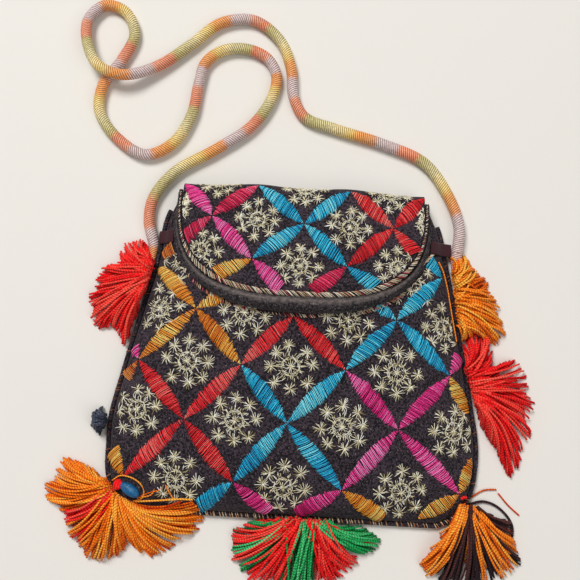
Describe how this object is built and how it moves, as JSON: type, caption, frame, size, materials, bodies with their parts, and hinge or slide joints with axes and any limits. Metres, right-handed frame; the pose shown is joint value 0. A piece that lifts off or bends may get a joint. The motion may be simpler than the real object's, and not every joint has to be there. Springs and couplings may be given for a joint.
{
  "type": "crossbody satchel",
  "caption": "Embroidered black cloth satchel with a rounded flap, a long wrapped rope strap and yarn tassels, lying on its back.",
  "frame": {"origin": "middle of the back panel's outer face, where the bag rests on the floor", "axes": "+Z out of the front, away from the floor; +Y towards the flap's fold and the strap; +X across the bag, to the right as its front is seen"},
  "size_m": [0.2962, 0.3622, 0.0361],
  "materials": {
    "black_felt": "matte",
    "black_yarn": "matte",
    "gold_thread": "matte",
    "green_yarn": "matte",
    "lining_cloth": "matte",
    "maroon_cloth": "matte",
    "navy_yarn": "matte",
    "orange_yarn": "matte",
    "red_yarn": "matte",
    "rope_thread": "matte",
    "snap_brass": "satin"
  },
  "bodies": {
    "root": {"back_lining": "lining_cloth", "back_panel": "black_felt", "edge_piping": "gold_thread", "flap_lining": "lining_cloth", "flap_overcast": "gold_thread", "flap_panel": "black_felt", "flap_roll": "black_felt", "flap_trim": "gold_thread", "front_lining": "lining_cloth", "front_panel": "black_felt", "inner_pocket": "lining_cloth", "left_rope_end": "rope_thread", "left_strap_tab": "maroon_cloth", "mouth_binding": "black_felt", "right_rope_end": "rope_thread", "right_strap_tab": "maroon_cloth", "snap_socket": "snap_brass", "snap_stud": "snap_brass", "snap_washer": "snap_brass", "strap": "rope_thread", "tassel_bottom_green_1": "green_yarn", "tassel_bottom_green_3": "green_yarn", "tassel_bottom_head": "green_yarn", "tassel_bottom_red_2": "red_yarn", "tassel_bottom_red_4": "red_yarn", "tassel_left_lower_head": "orange_yarn", "tassel_left_lower_orange_1": "orange_yarn", "tassel_left_lower_orange_2": "orange_yarn", "tassel_left_lower_orange_3": "orange_yarn", "tassel_left_middle_head": "navy_yarn", "tassel_left_middle_navy": "navy_yarn", "tassel_left_upper_head": "red_yarn", "tassel_left_upper_red": "red_yarn", "tassel_right_lower_black_2": "black_yarn", "tassel_right_lower_head": "orange_yarn", "tassel_right_lower_orange_1": "orange_yarn", "tassel_right_lower_orange_3": "orange_yarn", "tassel_right_middle_head": "red_yarn", "tassel_right_middle_red": "red_yarn", "tassel_right_upper_head": "orange_yarn", "tassel_right_upper_orange": "orange_yarn"}
  },
  "joints": []
}
